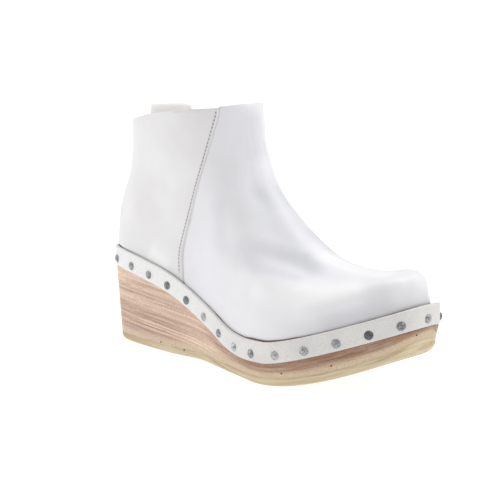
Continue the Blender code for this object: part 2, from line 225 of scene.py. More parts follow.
def object_mode():
    if bpy.context.mode != "OBJECT":
        bpy.ops.object.mode_set(mode="OBJECT")


def deselect():
    object_mode()
    bpy.ops.object.select_all(action="DESELECT")


def pick(piece):
    deselect()
    piece.select_set(True)
    bpy.context.view_layer.objects.active = piece


def edit(piece, mode="VERT", action="DESELECT"):
    """Open a piece for editing, with nothing or with everything selected."""
    pick(piece)
    bpy.ops.object.mode_set(mode="EDIT")
    bpy.ops.mesh.select_mode(type=mode)
    bpy.ops.mesh.select_all(action=action)


def triangles_of(piece):
    return sum(len(p.vertices) - 2 for p in piece.data.polygons)


def done(piece, angle=40):
    """Faces out, smooth shading, and one line about what was made."""
    edit(piece, action="SELECT")
    bpy.ops.mesh.remove_doubles(threshold=1e-6)
    bpy.ops.mesh.normals_make_consistent(inside=False)
    pick(piece)
    bpy.ops.object.shade_smooth_by_angle(angle=math.radians(angle))
    print(piece.name, "triangles", triangles_of(piece))


def apply_all(piece):
    pick(piece)
    for modifier in list(piece.modifiers):
        bpy.ops.object.modifier_apply(modifier=modifier.name)


def copy_of(piece):
    made = piece.copy()
    made.data = piece.data.copy()
    bpy.context.scene.collection.objects.link(made)
    return made


def join(pieces, name):
    deselect()
    for piece in pieces:
        piece.select_set(True)
    bpy.context.view_layer.objects.active = pieces[0]
    bpy.ops.object.join()
    made = bpy.context.object
    made.name = made.data.name = name
    return made


def points_of(piece):
    co = np.empty(len(piece.data.vertices) * 3)
    piece.data.vertices.foreach_get("co", co)
    return co.reshape(-1, 3)


def set_points(piece, co):
    piece.data.vertices.foreach_set("co", np.asarray(co, float).ravel())
    piece.data.update()


def selected_points(piece):
    """Which points are selected, read from object mode."""
    flags = np.zeros(len(piece.data.vertices), bool)
    piece.data.vertices.foreach_get("select", flags)
    return flags


def give(piece, name, values):
    """Let each point of a piece carry a number, for its material to read."""
    made = piece.data.attributes.new(name, "FLOAT", "POINT")
    made.data.foreach_set("value", np.asarray(values, float))

# %% [markdown]
# Wedge, outsole and insole all have the plan of the sole, so one helper makes
# them. It adds a flat grid, pulls the grid to the outline, and then extrudes
# the whole plate upwards, one level at a time. Each point remembers its place
# in the grid, so each level can be set in or raked by the same lines.

# %% Helper for plates with the plan of the sole
ALONG, ACROSS = 150, 12
RAKED_LENGTH = 0.12 * LENGTH


def plate(name, levels):
    """levels: for each level its inset, its rake and a function of x for z."""
    deselect()
    bpy.ops.mesh.primitive_grid_add(x_subdivisions=ALONG, y_subdivisions=ACROSS, size=1)
    piece = bpy.context.object
    piece.name = piece.data.name = name
    plan = piece.data.attributes.new("plan", "FLOAT2", "POINT")
    plan.data.foreach_set("vector", (points_of(piece)[:, :2] + 0.5).ravel())
    edit(piece, "FACE", "SELECT")
    for number, (inset, rake, height) in enumerate(levels):
        if number:
            bpy.ops.object.mode_set(mode="EDIT")
            bpy.ops.mesh.extrude_region_move(TRANSFORM_OT_translate={"value": (0, 0, MM)})
        object_mode()
        chosen = selected_points(piece)
        where = np.empty(len(chosen) * 2)
        piece.data.attributes["plan"].data.foreach_get("vector", where)
        along, across = where.reshape(-1, 2)[chosen].T
        x, outer, inner = edge_rows(inset, 0.5 - 0.5 * np.cos(np.pi * along))
        x = x + rake * np.clip(1 - x / RAKED_LENGTH, 0, 1)
        co = points_of(piece)
        co[chosen] = np.stack([x - HEEL_X, outer + across * (inner - outer), height(x)], 1)
        set_points(piece, co)
    done(piece, 35)
    return piece


# %% [markdown]
# The wooden wedge is one block. Its sides rake in slightly towards the floor,
# and under the band a small ledge makes room for the band's thickness. Its
# lowest level is set in by a hair.

# %% Wedge


def raised(line, rise):
    return lambda x: line(x) + rise


def between(low, high, share):
    return lambda x: low(x) + share * (high(x) - low(x))


sole_top = raised(floor_height, OUTSOLE_THICK + HAIR)
ledge_height = raised(band_height, -BAND_HIGH / 2 - 0.1 * MM)
wedge = plate("wedge_wood", [
    (LEDGE + SIDE_RAKE + HAIR, HEEL_RAKE, sole_top),
    (LEDGE + SIDE_RAKE, HEEL_RAKE, raised(sole_top, 0.3 * MM)),
    *((LEDGE + (1 - share) * SIDE_RAKE, (1 - share) * HEEL_RAKE,
       between(sole_top, ledge_height, share)) for share in (0.25, 0.5, 0.75)),
    (LEDGE, 0.0, ledge_height),
    (BAND_THICK + GAP, 0.0, ledge_height),
    (BAND_THICK + GAP, 0.0, band_height),
])
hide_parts("wedge")
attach(wedge, "root")

# %% [markdown]
# The outsole is a thin pale layer that follows the underside. Its first four
# levels round its lower edge. Each pair is an inset and a height above the
# floor line, in millimetres.

# %% Outsole
OUTSOLE_LEVELS = ((3.2, 0.0), (1.8, 0.4), (0.8, 1.3), (0.2, 2.8), (0.0, 5.2), (0.05, 5.5))
outsole = plate("outsole_layer", [
    (LEDGE + SIDE_RAKE + inset * MM, HEEL_RAKE, raised(floor_height, rise * MM))
    for inset, rise in OUTSOLE_LEVELS])
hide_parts("outsole")
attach(outsole, "root")

# %% [markdown]
# The insole is a footbed of soft leather over board, on top of the wood. Only
# its heel shows down the collar, so a rounded upper edge is enough. Its pairs
# are further insets, and heights above the middle of the band.

# %% Insole
INSOLE_INSET = 7.0 * MM
INSOLE_LEVELS = ((0.0, 0.3), (0.0, 2.2), (0.4, 2.9), (1.2, 3.2))
insole = plate("insole_footbed", [
    (INSOLE_INSET + inset * MM, 0.0, raised(band_height, rise * MM))
    for inset, rise in INSOLE_LEVELS])
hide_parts("insole")
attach(insole, "root")

# %% [markdown]
# The band is a strip of thick leather bent round the edge of the wood. A
# circle with many points is pulled to the outline and extruded upwards, a
# Solidify modifier gives it its thickness inwards, and a small bevel softens
# the cut edges so that they catch the light.

# %% Band
BAND_POINTS, BAND_ROWS = 420, 4
EDGE_ROUND = 0.55 * MM
deselect()
bpy.ops.mesh.primitive_circle_add(vertices=BAND_POINTS, radius=0.1)
band = bpy.context.object
band.name = band.data.name = "band_strip"
path = np.concatenate([[0], np.cumsum(np.hypot(np.diff(edge_x), np.diff(edge_y)))])
ring_at = np.arange(BAND_POINTS) / BAND_POINTS * path[-1]
ring_x, ring_y = np.interp(ring_at, path, edge_x), np.interp(ring_at, path, edge_y)
set_points(band, np.stack([ring_x - HEEL_X, ring_y, band_height(ring_x) - BAND_HIGH / 2], 1))
edit(band, "EDGE", "SELECT")
for _ in range(BAND_ROWS):
    bpy.ops.mesh.extrude_edges_move(
        TRANSFORM_OT_translate={"value": (0, 0, BAND_HIGH / BAND_ROWS)})
edit(band, action="SELECT")
bpy.ops.mesh.normals_make_consistent(inside=False)
pick(band)
solid = band.modifiers.new("thickness", "SOLIDIFY")
solid.thickness, solid.offset = BAND_THICK, -1
round_edge = band.modifiers.new("edges", "BEVEL")
round_edge.width, round_edge.segments, round_edge.limit_method = EDGE_ROUND, 3, "ANGLE"
apply_all(band)
done(band, 50)
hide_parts("band")
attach(band, "root")

# %% [markdown]
# Each nail has a low dome with a small flat rim, like a tack hammered home.
# One is made from a sphere: it is cut across by a bisect, flattened, and its
# cut edge is extruded outwards into the rim. The rest are copies, turned to
# face out of the band and joined into one piece. Each carries its own tone,
# so that the metal can differ from nail to nail.

# %% One nail
NAIL_RADIUS, NAIL_DOME = 2.9 * MM, 1.5 * MM
# Where the sphere is cut; how wide the dome is, of the head, and how high it starts
CUT, DOME_WIDE, DOME_FOOT = 0.35, 0.86, 0.22
# How far each extrusion grows and where it ends: the rim, its edge, the underside
NAIL_STEPS = ((1.0 / DOME_WIDE, 0.16 * NAIL_DOME), (1.0, -0.9 * MM), (0.6, -1.0 * MM))

deselect()
bpy.ops.mesh.primitive_uv_sphere_add(segments=20, ring_count=12, radius=1)
pattern = bpy.context.object
pattern.name = "nail_pattern"
edit(pattern, action="SELECT")
bpy.ops.mesh.bisect(plane_co=(0, 0, CUT), plane_no=(0, 0, 1), clear_inner=True)
object_mode()
co = points_of(pattern)
rim = co[:, 2] < CUT + 0.01
reach = np.hypot(co[rim, 0], co[rim, 1]).max()
co[:, :2] *= DOME_WIDE * NAIL_RADIUS / reach
co[:, 2] = ((co[:, 2] - CUT) / (1 - CUT) * (1 - DOME_FOOT) * NAIL_DOME
            + DOME_FOOT * NAIL_DOME)
set_points(pattern, co)
for grow, z in NAIL_STEPS:
    low = points_of(pattern)[:, 2].min()
    edit(pattern, "EDGE")
    object_mode()
    for edge in pattern.data.edges:
        edge.select = all(pattern.data.vertices[v].co.z < low + 1e-6 for v in edge.vertices)
    bpy.ops.object.mode_set(mode="EDIT")
    bpy.ops.mesh.extrude_edges_move(TRANSFORM_OT_translate={"value": (0, 0, -0.1 * MM)})
    object_mode()
    chosen = selected_points(pattern)
    co = points_of(pattern)
    co[chosen, :2] *= grow
    co[chosen, 2] = z
    set_points(pattern, co)
bpy.ops.object.mode_set(mode="EDIT")
bpy.ops.mesh.edge_face_add()
done(pattern, 60)

# %% [markdown]
# The nails stand at even steps along the band, measured on its slope.

# %% Row of nails
NAIL_COUNT, NAIL_START = 30, 0.24
NAIL_DROP, NAIL_LEAN = 1.8 * MM, 0.05
# How bright each nail is, from the heel along the outer side; the rest repeat
NAIL_TONES = (0.5, 0.6, 0.62, 0.62, 0.35, 0.38, 0.8, 0.6, 0.9, 0.6, 0.85, 0.75, 0.65, 0.08,
              0.4, 0.65, 0.3)
rise = np.concatenate([[0], np.cumsum(np.sqrt(np.diff(edge_x) ** 2 + np.diff(edge_y) ** 2
                                              + np.diff(band_height(edge_x)) ** 2))])
random.seed(7)
copies = []
for k in range(NAIL_COUNT):
    at = (k + NAIL_START) / NAIL_COUNT * rise[-1]
    px, py = (np.interp([at, at + MM], rise, line) for line in (edge_x, edge_y))
    size = math.hypot(px[1] - px[0], py[1] - py[0])
    out = Vector(((py[1] - py[0]) / size, -(px[1] - px[0]) / size,
                  random.uniform(-NAIL_LEAN, NAIL_LEAN)))
    nail = copy_of(pattern)
    turn = out.to_track_quat("Z", "Y").to_matrix().to_4x4()
    turn.translation = Vector((px[0] - HEEL_X, py[0], float(band_height(px[0])) - NAIL_DROP))
    nail.data.transform(turn)
    give(nail, "tone", np.full(len(nail.data.vertices), NAIL_TONES[k % len(NAIL_TONES)]))
    copies.append(nail)
bpy.data.objects.remove(pattern)
nails = join(copies, "nails")
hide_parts(*["nail_%02d" % (k + 1) for k in range(NAIL_COUNT)])
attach(nails, "root")
print("nails", NAIL_COUNT, "triangles", triangles_of(nails))

# %% [markdown]
# The upper keeps the exact form of the last, so it starts as a copy of the
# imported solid. The copy's points are merged, its triangles are paired into
# quads, and its sharp edges, which are the collar, the lower rim and the step
# of the side seams, are creased. Two levels of subdivision then give a smooth
# skin that still has crisp cut edges.

# %% Upper


def quads_from(node_name, name):
    """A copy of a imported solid, its points merged and its triangles paired."""
    made = bpy.data.objects.new(name, nodes[node_name].data.copy())
    made.data.name = name
    bpy.context.scene.collection.objects.link(made)
    edit(made, action="SELECT")
    bpy.ops.mesh.remove_doubles(threshold=1e-6)
    bpy.ops.mesh.tris_convert_to_quads(face_threshold=math.radians(60),
                                       shape_threshold=math.radians(100))
    object_mode()
    return made


def subdivide(piece):
    skin = piece.modifiers.new("skin", "SUBSURF")
    skin.levels = skin.render_levels = 2
    apply_all(piece)


upper = quads_from("upper", "upper_leather")
edit(upper, "EDGE")
bpy.ops.mesh.edges_select_sharp(sharpness=math.radians(48))
bpy.ops.transform.edge_crease(value=0.9)
object_mode()
print("upper quads", len(upper.data.polygons))
subdivide(upper)
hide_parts("upper")
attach(upper, "root")

# %% [markdown]
# Which points belong to the lining side? A feeler sent out from a point along
# its normal meets the opposite wall, the footbed or the wood only if the point
# is inside. The answer is kept, because folds have to move both sides of the
# leather alike and because the lining gets a material of its own.

# %% Inside and outside of the upper
FEELER_LIFT, FEELER_LONG = 0.4, 0.25


def tree_of(*pieces):
    """All the pieces' faces, ready to be met by feelers."""
    made = bmesh.new()
    for piece in pieces:
        made.from_mesh(piece.data)
    tree = BVHTree.FromBMesh(made)
    made.free()
    return tree


def normals_of(piece):
    found = np.empty(len(piece.data.vertices) * 3)
    piece.data.vertices.foreach_get("normal", found)
    return found.reshape(-1, 3)


def inside_flags(tree, points, normals):
    found = []
    for point, normal in zip(points, normals):
        normal = Vector(normal)
        hit = tree.ray_cast(Vector(point) + normal * FEELER_LIFT * MM, normal, FEELER_LONG)
        found.append(hit[0] is not None)
    return np.array(found)


inside = inside_flags(tree_of(upper, insole, wedge), points_of(upper), normals_of(upper))
print("points inside", int(inside.sum()), "of", len(inside))

# %% [markdown]
# The back panel ends in a side seam on each side, with a row of stitches just
# behind its cut edge. The seam's line is a short table of heights and places.
# Three measures of a point on the skin come from these lines and the band's.

# %% Seam line
STITCH_BEHIND = {"high": (60, 85, 110, 140, 164), "behind": (2.9, 2.3, 1.6, 1.2, 1.1)}
SEAM = {
    "high": (44, 60, 67, 75, 85, 100, 115, 130, 150, 164),
    "along": (44.5, 43.0, 42.6, 43.4, 46.2, 50.5, 55.9, 61.0, 65.8, 68.3),
}


def seam_x(z):
    return smooth(SEAM["high"], SEAM["along"], np.asarray(z) / MM) * MM


def stitch_behind(z):
    return smooth(STITCH_BEHIND["high"], STITCH_BEHIND["behind"], np.asarray(z) / MM) * MM


def past_seam(points):
    return points[:, 0] - seam_x(points[:, 2])


def over_band(points):
    """How high each point stands above the band's upper edge."""
    return points[:, 2] - band_height(points[:, 0] + HEEL_X) - BAND_HIGH / 2


print("seam from", SEAM["high"][0], "to", SEAM["high"][-1], "mm high")

# %% [markdown]
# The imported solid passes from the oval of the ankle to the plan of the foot
# with a faint ridge down each side of the vamp. A Smooth modifier melts it.
# A vertex group holds it back from the seams, the foot, the collar, the
# middle of the front and the toe, which all have to stay where they are.

# %% Smooth the vamp's sides
MELT_FACTOR, MELT_TURNS = 0.5, 260


def ease(values, low, high):
    """From 0 at low to 1 at high, flat at both ends."""
    t = np.clip((values - low) / (high - low), 0, 1)
    return t * t * (3 - 2 * t)


def skin_now():
    """The points of the upper and, for each, the way out of the leather."""
    return points_of(upper), np.where(inside[:, None], -1, 1) * normals_of(upper)


skin_points = points_of(upper)
weight = (ease(past_seam(skin_points), 2 * MM, 9 * MM)
          * ease(over_band(skin_points), 2 * MM, 9 * MM)
          * ease(-skin_points[:, 2], -0.162, -0.150)
          * ease(np.abs(skin_points[:, 1]), 5 * MM, 13 * MM)
          * ease(-skin_points[:, 0], -0.185, -0.150))
group = upper.vertex_groups.new(name="vamp sides")
for k in np.nonzero(weight > 0.01)[0]:
    group.add([int(k)], float(weight[k]), "REPLACE")
melt = upper.modifiers.new("melt", "SMOOTH")
melt.factor, melt.iterations, melt.vertex_group = MELT_FACTOR, MELT_TURNS, group.name
apply_all(upper)
skin_points, outward = skin_now()
print("points smoothed", int((weight > 0.01).sum()))

# %% [markdown]
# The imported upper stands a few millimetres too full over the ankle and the
# instep. A broad hollow takes that in: it runs down the front on each side of
# its middle, and a short table says how deep it is at each place.

# %% Hollow of the ankle and instep
HOLLOW_LINE = [(76, 15, 168), (79, 15, 159), (83, 14, 149), (87, 15, 138), (93, 16, 127),
               (98, 16, 119), (108, 20, 104), (127, 20, 90), (148, 25, 76), (167, 25, 73),
               (184, 24, 72), (199, 26, 70)]
HOLLOW_SINK = (0.0, 1.2, 3.0, 4.2, 6.0, 6.6, 7.2, 7.1, 7.2, 5.3, 2.8, 0.0)
HOLLOW_WIDTH = 32.0 * MM
HOLLOW_SIDES = ((1, 1.0), (-1, 0.7))


def near_line(points, line):
    """Distance of each point from a line of places, and its share along it."""
    line = np.asarray(line, float)
    lengths = np.linalg.norm(np.diff(line, axis=0), axis=1)
    best = np.full(len(points), 1.0)
    share = np.zeros(len(points))
    for k, (a, b) in enumerate(zip(line[:-1], line[1:])):
        t = np.clip((points - a) @ (b - a) / lengths[k] ** 2, 0, 1)
        gap = np.linalg.norm(points - a - t[:, None] * (b - a), axis=1)
        closer = gap < best
        best[closer] = gap[closer]
        share[closer] = ((lengths[:k].sum() + t * lengths[k]) / lengths.sum())[closer]
    return best, share


def bell(gap, width):
    return np.exp(-(gap / width) ** 2 * 2)


sink = np.zeros(len(skin_points))
for side, strength in HOLLOW_SIDES:
    line = np.array([(x, side * y, z) for x, y, z in HOLLOW_LINE]) * MM
    gap, share = near_line(skin_points, line)
    steps = np.linalg.norm(np.diff(line, axis=0), axis=1)
    knots = np.concatenate([[0], np.cumsum(steps)]) / steps.sum()
    sink += strength * np.interp(share, knots, HOLLOW_SINK) * bell(gap, HOLLOW_WIDTH)
sink *= ease(past_seam(skin_points), 1 * MM, 14 * MM)
set_points(upper, skin_points - outward * sink[:, None] * MM)
skin_points, outward = skin_now()
print("deepest hollow", round(float(sink.max()), 2), "mm")

# %% [markdown]
# Leather that has been walked in keeps its folds where the foot bends. Each
# fold here is a line of a few places on the skin, half its width, and how far
# it rises (or sinks, below zero). The places are dropped onto the leather, and
# every point near the line moves by a soft bell curve that fades at the ends.
# The inner side, which the picture doesn't show, repeats them a little weaker.

# %% Folds
FOLDS = {
    "vamp crease": ([(96, -39, 84), (109, -37, 84), (122, -32, 83), (136, -26, 81),
                     (150, -22, 78), (164, -21, 74)], 11.0, -1.9),
    "vamp crease, its sharp end": ([(140, -25, 80), (151, -22, 78), (163, -21, 74)], 6.0, -0.5),
    "roll over the crease": ([(110, -30, 93), (127, -23, 91), (141, -14, 86)], 8.0, 0.4),
    "ankle dimple": ([(91, -20, 122), (103, -16, 116), (115, -11, 107)], 11.0, -0.8),
    "shaft hollow": ([(79, -14, 154), (88, -13, 137), (99, -15, 121), (107, -18, 109)],
                     11.0, -0.8),
    "toe box edge": ([(152, -46, 49), (166, -41, 52), (180, -31, 57), (193, -20, 62),
                      (204, -4, 69)], 13.0, 2.2),
    "toe cap corner": ([(206, 0, 69), (210, 10, 68), (210, 24, 67)], 9.0, 1.3),
    "ankle hollow": ([(22, -28, 125), (20, -28, 105), (26, -28, 88)], 16.0, -0.6),
}
FOLD_SIDES = ((1, 1.0), (-1, 0.8))
FADE_OVER, LEFT_AT_ENDS = 0.22, 0.15
COLLAR_ARCH, HEEL_SWELL, FRONT_LEAN = 2.2 * MM, 2.3 * MM, 1.05 * MM


def on_skin(tree, line, side):
    """Places in millimetres on the outer side, dropped onto the leather of a side."""
    return [tree.find_nearest(Vector((x, side * y, z)) * MM)[0] for x, y, z in line]


def fold(points, line, width, rise):
    gap, share = near_line(points, line)
    ends = ease(np.minimum(share, 1 - share), 0, FADE_OVER)
    return rise * bell(gap, width) * (LEFT_AT_ENDS + (1 - LEFT_AT_ENDS) * ends)


def collar_arch(points):
    """The collar is cut with a slight arch between the heel and the side seam."""
    share = np.clip((points[:, 0] + 25 * MM) / (95 * MM), 0, 1)
    near_top = np.clip((points[:, 2] - 0.125) / (35 * MM), 0, 1) ** 2
    return COLLAR_ARCH * np.sin(np.pi * share) * near_top


def foot_swell(points):
    """The foot of the upper swells against the band, most of all over the heel."""
    above = over_band(points)
    over_heel = (HEEL_SWELL * ease(-points[:, 0], -0.005, 0.030)
                 * ease(above, -0.5 * MM, 2.5 * MM) * np.exp(-(above / (11 * MM)) ** 2))
    front_panel = ease(past_seam(points), 0, 2 * MM)
    lean = FRONT_LEAN * front_panel * np.exp(-(np.maximum(above, 0) / (6 * MM)) ** 2)
    return over_heel + lean * ease(above, -7 * MM, -1 * MM)


skin_tree = tree_of(upper)
moved = skin_points.copy()
moved[:, 2] += collar_arch(skin_points)
moved += outward * foot_swell(skin_points)[:, None]
for line, width, rise in FOLDS.values():
    for side, strength in FOLD_SIDES:
        raise_by = fold(skin_points, on_skin(skin_tree, line, side), width * MM,
                        rise * strength * MM)
        moved += outward * raise_by[:, None]
set_points(upper, moved)
done(upper, 40)
print("largest fold", round(float(np.abs(moved - skin_points).max()) / MM, 2), "mm")

# %% [markdown]
# The white leather has light and shade painted into its colour: painted shade
# along the side of the toe and in the folds, and painted highlight on the crown
# of the vamp, the ball, the top of the vamp and the heel. Each stroke is again a
# line of places with half its width, and a strength that is below zero for
# painted shade. The leather carries their sum.

# %% Strokes of painted light and shade
LIGHT_AND_SHADE_STROKES = {
    "grey along the toe side": ([(170, -43, 42), (183, -35, 49), (196, -23, 54), (209, -6, 60)],
                                10.0, -0.65),
    "faint grey at the ball": ([(140, -49, 36), (160, -46, 40), (180, -38, 46)], 12.0, -0.15),
    "grey in the crease": ([(102, -40, 83), (117, -35, 83), (131, -28, 82), (144, -22, 80),
                            (156, -19, 77)], 12.0, -0.5),
    "faint grey under the crease": ([(84, -37, 88), (100, -42, 78), (120, -39, 75), (138, -34, 74),
                                     (152, -29, 73)], 12.0, -0.35),
    "faint grey at the ankle side": ([(74, -28, 116), (76, -28, 104), (78, -30, 94), (80, -32, 84),
                                      (90, -36, 74)], 10.0, -0.4),
    "faint grey below the crease": ([(120, -42, 72), (130, -39, 73), (140, -35, 74),
                                     (152, -29, 74)], 8.0, -0.3),
    "grey at the ridge's end": ([(136, -16, 86), (146, -13, 81), (160, -12, 77)], 7.0, -0.3),
    "grey over the ankle": ([(94, -18, 128), (107, -17, 113), (120, -17, 101), (134, -18, 90),
                             (146, -17, 83)], 19.0, -0.47),
    "grey beside the ridge": ([(122, -14, 97), (134, -14, 88), (146, -13, 82)], 9.0, -0.3),
    "grey in the dimple": ([(100, -12, 124), (108, -11, 116), (116, -10, 108)], 10.0, -0.25),
    "pale crown of the vamp": ([(146, -41, 61), (163, -36, 61), (179, -28, 62), (193, -15, 66)],
                               14.0, 1.1),
    "pale ball": ([(115, -43, 63), (131, -45, 61), (148, -43, 58), (162, -39, 56)], 13.0, 0.9),
    "pale top of the vamp": ([(140, 0, 88), (154, 0, 80), (171, -2, 76), (187, 0, 73),
                              (201, 4, 72)], 11.0, 0.9),
    "grey front of the shaft": ([(84, -4, 169), (86, -4, 158), (89, -5, 146), (93, -6, 134)],
                                11.0, -0.3),
    "pale foot of the heel": ([(6, -26, 70), (20, -27, 64), (32, -28, 58)], 10.0, 0.9),
    "pale heel": ([(-22, -14, 130), (-22, -16, 105), (-16, -22, 80)], 16.0, 0.6),
}
print("strokes", len(LIGHT_AND_SHADE_STROKES))

# %% [markdown]
# The leather also carries its distance from the seam and from the stitches,
# and its height above the band. From these the material darkens the cut edge,
# paints a little shade into the stitch dents, and paints dirt and shade at the
# foot, so the lines stay sharp whatever the size of the faces.

# %% Distances, and strokes of painted light and shade, kept on the leather
skin_points, skin_tree = points_of(upper), tree_of(upper)
# Painted light and shade: strokes above zero paint highlight, strokes below zero paint shade
painted_light_and_shade = np.zeros(len(skin_points))
for line, width, strength in LIGHT_AND_SHADE_STROKES.values():
    for side in (1, -1):
        painted_light_and_shade += fold(skin_points, on_skin(skin_tree, line, side), width * MM, strength)
from_seam = past_seam(skin_points)
give(upper, "painted_light_and_shade", painted_light_and_shade)
give(upper, "from_seam", from_seam / MM)
give(upper, "from_stitches", (from_seam + stitch_behind(skin_points[:, 2])) / MM)
give(upper, "above_band", over_band(skin_points) / MM)
print("burnish from", round(painted_light_and_shade.min(), 2), "to", round(painted_light_and_shade.max(), 2))

# %% [markdown]
# The pull tab is a folded strip of the same leather, sewn into the collar to
# hold while the foot slips in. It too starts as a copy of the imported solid. It
# follows the collar's arch, its front corner is cut round, its back corner
# leans back, and a bevel with subdivision softens all its edges.

# %% Pull tab
TAB_RISE, TAB_ROUND, TAB_LEAN = 0.5 * MM, 4.0 * MM, 2.2 * MM
tab = quads_from("pull_tab", "pull_tab_strip")
co = points_of(tab)
tab_share = (co[:, 0] - co[:, 0].min()) / np.ptp(co[:, 0])
above_collar = np.clip((co[:, 2] - np.quantile(co[:, 2], 0.5)) / (6 * MM), 0, 1)
co[:, 2] += collar_arch(co) + TAB_RISE * above_collar
co[:, 2] -= TAB_ROUND * above_collar * np.clip((tab_share - 0.72) / 0.28, 0, 1) ** 2
co[:, 0] -= TAB_LEAN * above_collar * np.clip(1 - tab_share / 0.3, 0, 1)
set_points(tab, co)
soft = tab.modifiers.new("edges", "BEVEL")
soft.width, soft.segments, soft.limit_method = 0.5 * MM, 2, "ANGLE"
subdivide(tab)
done(tab, 50)
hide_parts("pull_tab")
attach(tab, "root")

# %% [markdown]
# One stitch is a short thread, thick in the middle and sunk at both ends. It
# is made from a small sphere, stretched along its row. Copies follow the seam
# on both sides of the boot, each laid on the leather where a feeler from the
# side meets it. Between each two sits a dark disc, the painted shade of a
# needle hole.

# %% Stitches
STITCH_PITCH, STITCH_LONG, STITCH_THICK = 2.5 * MM, 1.8 * MM, 0.5 * MM
STITCH_LIFT, HOLE_RADIUS, HOLE_DEEP = 0.02 * MM, 0.42 * MM, 0.12 * MM
ROW_LOW, ROW_HIGH = 56 * MM, 168 * MM

deselect()
bpy.ops.mesh.primitive_uv_sphere_add(segments=8, ring_count=6, radius=0.5)
thread = bpy.context.object
thread.scale = (STITCH_LONG, STITCH_THICK, STITCH_THICK)
bpy.ops.object.transform_apply(location=False, rotation=False, scale=True)
# The needle hole is a thin disc that the thread's material paints dark, as painted shade
bpy.ops.mesh.primitive_cylinder_add(vertices=8, radius=HOLE_RADIUS, depth=HOLE_DEEP)
hole = bpy.context.object


def meet_from_side(tree, side, x, z):
    """Where a feeler from a side meets a piece, and the way out of it there.

    The side is -1 for the outer one and 1 for the inner one.
    """
    place, out, _, _ = tree.ray_cast(Vector((x, side * 0.2, z)), Vector((0, -side, 0)))
    return place, out


seam_pieces = []
for side in (-1, 1):
    z, row = ROW_LOW, []
    while z < ROW_HIGH:
        x = float(seam_x(z)) - float(stitch_behind(z))
        row.append(meet_from_side(skin_tree, side, x, z))
        step = math.hypot(1, float(seam_x(z + MM) - seam_x(z)) / MM)
        z += STITCH_PITCH / step
    for k in range(1, len(row) - 1):
        here, out = row[k]
        run = (row[k + 1][0] - row[k - 1][0]).normalized()
        out = (out - out.dot(run) * run).normalized()
        turn = Matrix((run, out.cross(run), out)).transposed().to_4x4()
        for one, shift, lift in ((thread, 0, STITCH_LIFT), (hole, 0.5, 0.0)):
            made = copy_of(one)
            turn.translation = here + run * (shift * STITCH_PITCH) + out * lift
            made.data.transform(turn)
            give(made, "hole", np.full(len(made.data.vertices), float(shift > 0)))
            seam_pieces.append(made)
for one in (thread, hole):
    bpy.data.objects.remove(one)
stitches = join(seam_pieces, "seam_stitches")
for polygon in stitches.data.polygons:
    polygon.use_smooth = True
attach(stitches, "root")
print("stitches and holes", len(seam_pieces), "triangles", triangles_of(stitches))

# %% [markdown]
# A material is a tree of nodes. These helpers each add one node and join it to
# what came before. All patterns use Object coordinates in metres, so a noise
# with a scale of 1000 repeats about every millimetre.

# %% Helpers for materials


def set_values(made, values):
    """Set a node's sockets, or else its settings, by name with _ for a space."""
    for key, value in values.items():
        socket = made.inputs.get(key.replace("_", " "))
        if socket:
            socket.default_value = value
        else:
            setattr(made, key, value)


def new_material(name, colour, roughness, **more):
    made = bpy.data.materials.new(name)
    made.use_nodes = True
    shader = made.node_tree.nodes["Principled BSDF"]
    set_values(shader, {"Base_Color": (*colour, 1), "Roughness": roughness, **more})
    return made, made.node_tree, shader


def node(tree, kind, **values):
    made = tree.nodes.new(kind)
    set_values(made, values)
    return made


def feed(socket, value):
    """Join a socket to the end of another node, or set it to a number or a colour."""
    if isinstance(value, bpy.types.NodeSocket):
        value.id_data.links.new(value, socket)
    else:
        socket.default_value = (*value, 1) if isinstance(value, tuple) else value


def tree_of_sockets(*values):
    """The node tree of the first of the values that is a socket."""
    return next(v.id_data for v in values if isinstance(v, bpy.types.NodeSocket))


def place(tree, scale=(1, 1, 1)):
    coords = tree.nodes.new("ShaderNodeTexCoord")
    mapping = node(tree, "ShaderNodeMapping", Scale=scale)
    tree.links.new(coords.outputs["Object"], mapping.inputs["Vector"])
    return mapping.outputs["Vector"]


def ramp(source, stops):
    tree = source.id_data
    made = tree.nodes.new("ShaderNodeValToRGB")
    while len(made.color_ramp.elements) < len(stops):
        made.color_ramp.elements.new(0.5)
    for element, (at, colour) in zip(made.color_ramp.elements, stops):
        element.position = at
        element.color = (*colour, 1)
    tree.links.new(source, made.inputs["Fac"])
    return made.outputs["Color"]


def mix(factor, a, b, blend="MIX"):
    tree = tree_of_sockets(factor, a, b)
    made = node(tree, "ShaderNodeMix", data_type="RGBA", blend_type=blend)
    for value, number in ((factor, 0), (a, 6), (b, 7)):
        feed(made.inputs[number], value)
    return made.outputs[2]


def paint(shader, tone, heights, roughness=None):
    """Join up a colour, a chain of bumps (socket, distance, strength) and a roughness."""
    tree = shader.id_data
    tree.links.new(tone, shader.inputs["Base Color"])
    if roughness is not None:
        tree.links.new(roughness, shader.inputs["Roughness"])
    last = None
    for socket, distance, strength in heights:
        made = node(tree, "ShaderNodeBump", Distance=distance, Strength=strength)
        tree.links.new(socket, made.inputs["Height"])
        if last is not None:
            tree.links.new(last, made.inputs["Normal"])
        last = made.outputs["Normal"]
    tree.links.new(last, shader.inputs["Normal"])


def dress(piece, material):
    piece.data.materials.clear()
    piece.data.materials.append(material)


# %% [markdown]
# More helpers read and shape numbers. They read what a piece carries at its
# points, add a noise, map one range to another, pick out a band of values, or
# combine two of them.

# %% Helpers for numbers in materials


def attribute(tree, name):
    return node(tree, "ShaderNodeAttribute", attribute_name=name).outputs["Fac"]


def noise(tree, scale, detail=3.0, rough=0.5, stretch=(1, 1, 1)):
    made = node(tree, "ShaderNodeTexNoise", Scale=scale, Detail=detail, Roughness=rough)
    tree.links.new(place(tree, stretch), made.inputs["Vector"])
    return made.outputs["Fac"]


